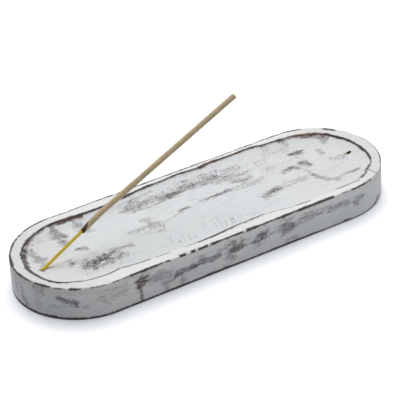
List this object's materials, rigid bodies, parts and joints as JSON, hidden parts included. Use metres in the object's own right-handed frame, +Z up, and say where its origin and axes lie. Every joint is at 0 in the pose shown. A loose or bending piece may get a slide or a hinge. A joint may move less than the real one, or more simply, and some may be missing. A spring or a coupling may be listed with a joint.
{
  "type": "incense burner",
  "caption": "long round-ended whitewashed wooden tray with a shallow ash recess and slanted end holes, holding an incense stick that leans over the recess and lifts out",
  "frame": {"origin": "centre of the tray's underside, on the surface it stands on", "axes": "+X along the tray from the hole that holds the stick to the spare hole, +Y across the tray, +Z up"},
  "size_m": [0.3, 0.1, 0.1052],
  "materials": {
    "whitewashed_wood": "worn white paint over dark brown wood",
    "dyed_bamboo": "yellow-dyed split bamboo, dull",
    "incense_paste": "dry rolled wood-powder paste, dull and grainy"
  },
  "bodies": {
    "tray": {"wooden_tray": "whitewashed_wood"},
    "stick": {"bamboo_core": "dyed_bamboo", "incense_paste": "incense_paste"}
  },
  "joints": [
    {"name": "stick_lift", "type": "slide", "parent": "tray", "child": "stick", "axis": [0.866, 0, 0.5], "range_m": [0, 0.2]}
  ]
}
